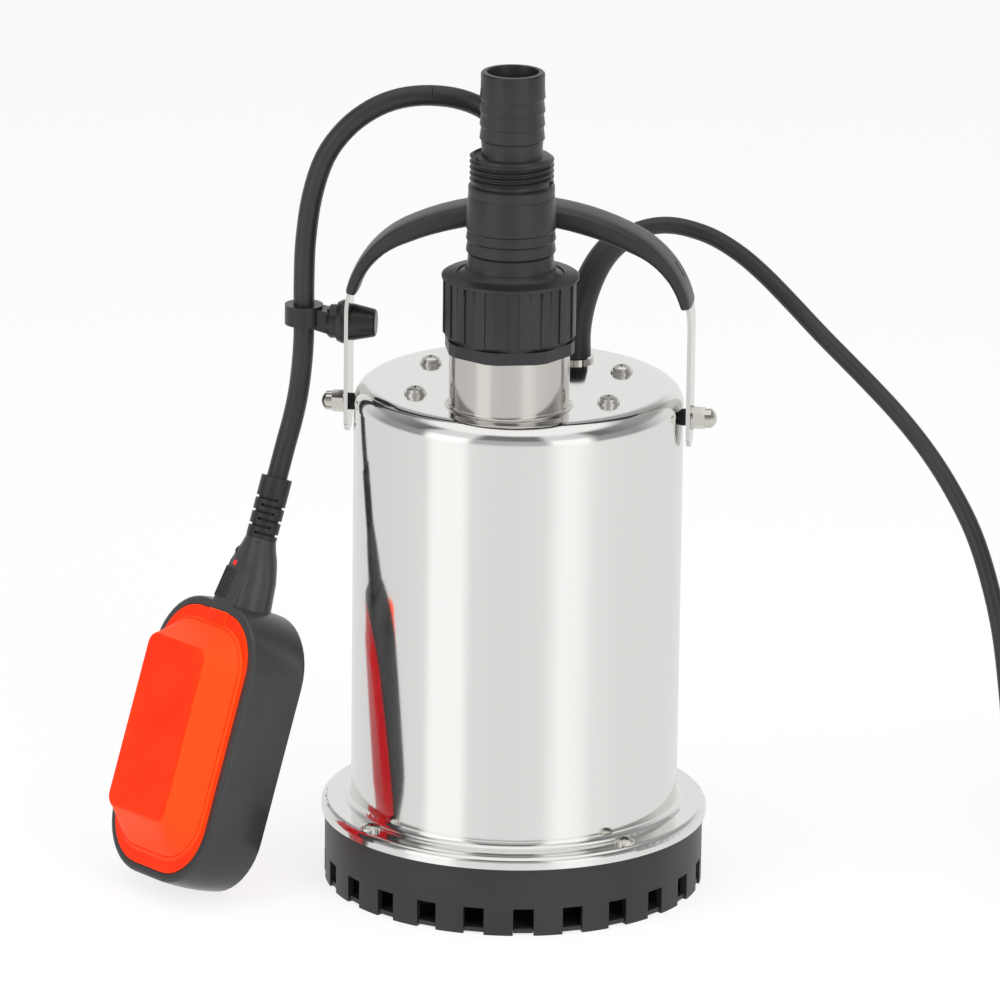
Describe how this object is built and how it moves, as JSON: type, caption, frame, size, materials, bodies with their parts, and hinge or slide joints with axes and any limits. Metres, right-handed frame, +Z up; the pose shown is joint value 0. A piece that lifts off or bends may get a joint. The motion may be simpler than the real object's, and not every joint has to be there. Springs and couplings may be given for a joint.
{
  "type": "submersible sump pump",
  "caption": "Submersible drain pump: stainless jacket on a black strainer base, folding handle, stepped hose adapter, float switch on its cable and a coiled mains lead.",
  "frame": {"origin": "centre of the base pad on the floor, on the motor's axis", "axes": "+Z up along the motor's axis, -Y to the front where the discharge tube stands, +X to the right where the mains lead falls"},
  "size_m": [0.5381, 0.2232, 0.3431],
  "materials": {
    "polished_stainless": "polished, fine turning marks",
    "strainer_plastic": "moulded, fine satin grain",
    "nut_plastic": "moulded, satin",
    "grip_plastic": "moulded, satin",
    "clip_plastic": "moulded, half gloss",
    "bright_steel": "plated fasteners",
    "black_rubber": "moulded, dull",
    "cable_jacket": "extruded, dull",
    "float_shell": "moulded, satin",
    "float_orange": "moulded, half gloss",
    "float_crimson": "moulded, half gloss",
    "cast_aluminium": "die cast",
    "dark_plastic": "glass-filled, moulded",
    "lamination_steel": "stamped and stacked",
    "copper_winding": "enamelled wire",
    "shaft_steel": "ground",
    "brass_nut": "turned",
    "white_plastic": "moulded",
    "ivory_plastic": "moulded",
    "blue_plastic": "moulded",
    "cast_weight": "cast"
  },
  "bodies": {
    "pump": {"base_strainer": "strainer_plastic", "base_plate": "strainer_plastic", "base_screws": "bright_steel", "casing": "polished_stainless", "top_screws": "bright_steel", "discharge_tube": "polished_stainless", "union_nut": "nut_plastic", "union_seal": "black_rubber", "hose_adapter": "nut_plastic", "power_gland": "black_rubber", "float_gland": "black_rubber", "gland_collars": "bright_steel", "motor_housing": "cast_aluminium", "motor_cap": "dark_plastic", "stator_core": "lamination_steel", "windings": "copper_winding", "upper_bearing": "shaft_steel", "upper_bearing_bracket": "cast_aluminium", "lower_bearing": "shaft_steel", "shaft_seals": "black_rubber", "seal_carrier": "dark_plastic", "chamber_seal": "black_rubber", "pump_chamber": "dark_plastic", "suction_plate": "strainer_plastic", "capacitor": "white_plastic", "terminal_block": "ivory_plastic", "pivot_bolts": "bright_steel", "pivot_spacers": "black_rubber", "pivot_washers": "bright_steel", "cap_nuts": "bright_steel", "float_cable_rear": "cable_jacket", "power_cable": "cable_jacket", "cable_coil": "cable_jacket", "cable_ties": "clip_plastic", "plug_lead": "cable_jacket", "power_plug": "black_rubber", "plug_pins": "bright_steel"},
    "rotor": {"shaft": "shaft_steel", "rotor_core": "lamination_steel", "impeller": "dark_plastic", "impeller_nut": "brass_nut"},
    "handle": {"handle_strap": "polished_stainless", "handle_grip": "grip_plastic", "float_cable_front": "cable_jacket"},
    "clip": {"cable_clip": "clip_plastic"},
    "float": {"float_frame": "float_shell", "float_front_cover": "float_orange", "float_rear_cover": "float_crimson", "float_sleeve": "black_rubber", "float_microswitch": "blue_plastic", "float_ballast": "cast_weight", "float_lead": "cable_jacket"}
  },
  "joints": [
    {"name": "rotor_spin", "type": "hinge", "parent": "pump", "child": "rotor", "pos_m": [0, 0, 0.1], "axis": [0, 0, 1], "continuous": true},
    {"name": "handle_fold", "type": "hinge", "parent": "pump", "child": "handle", "pos_m": [0, 0, 0.196], "axis": [-1, 0, 0], "range_deg": [-2, 30], "deforming": ["float_cable_rear"]},
    {"name": "clip_turn", "type": "hinge", "parent": "handle", "child": "clip", "pos_m": [-0.0688, 0, 0.229], "axis": [1, 0, 0], "range_deg": [-60, 60], "deforming": ["float_cable_front"]},
    {"name": "float_swing", "type": "hinge", "parent": "clip", "child": "float", "pos_m": [-0.0876, 0, 0.215], "axis": [0, 1, 0], "range_deg": [0, 110], "deforming": ["float_lead"]}
  ]
}
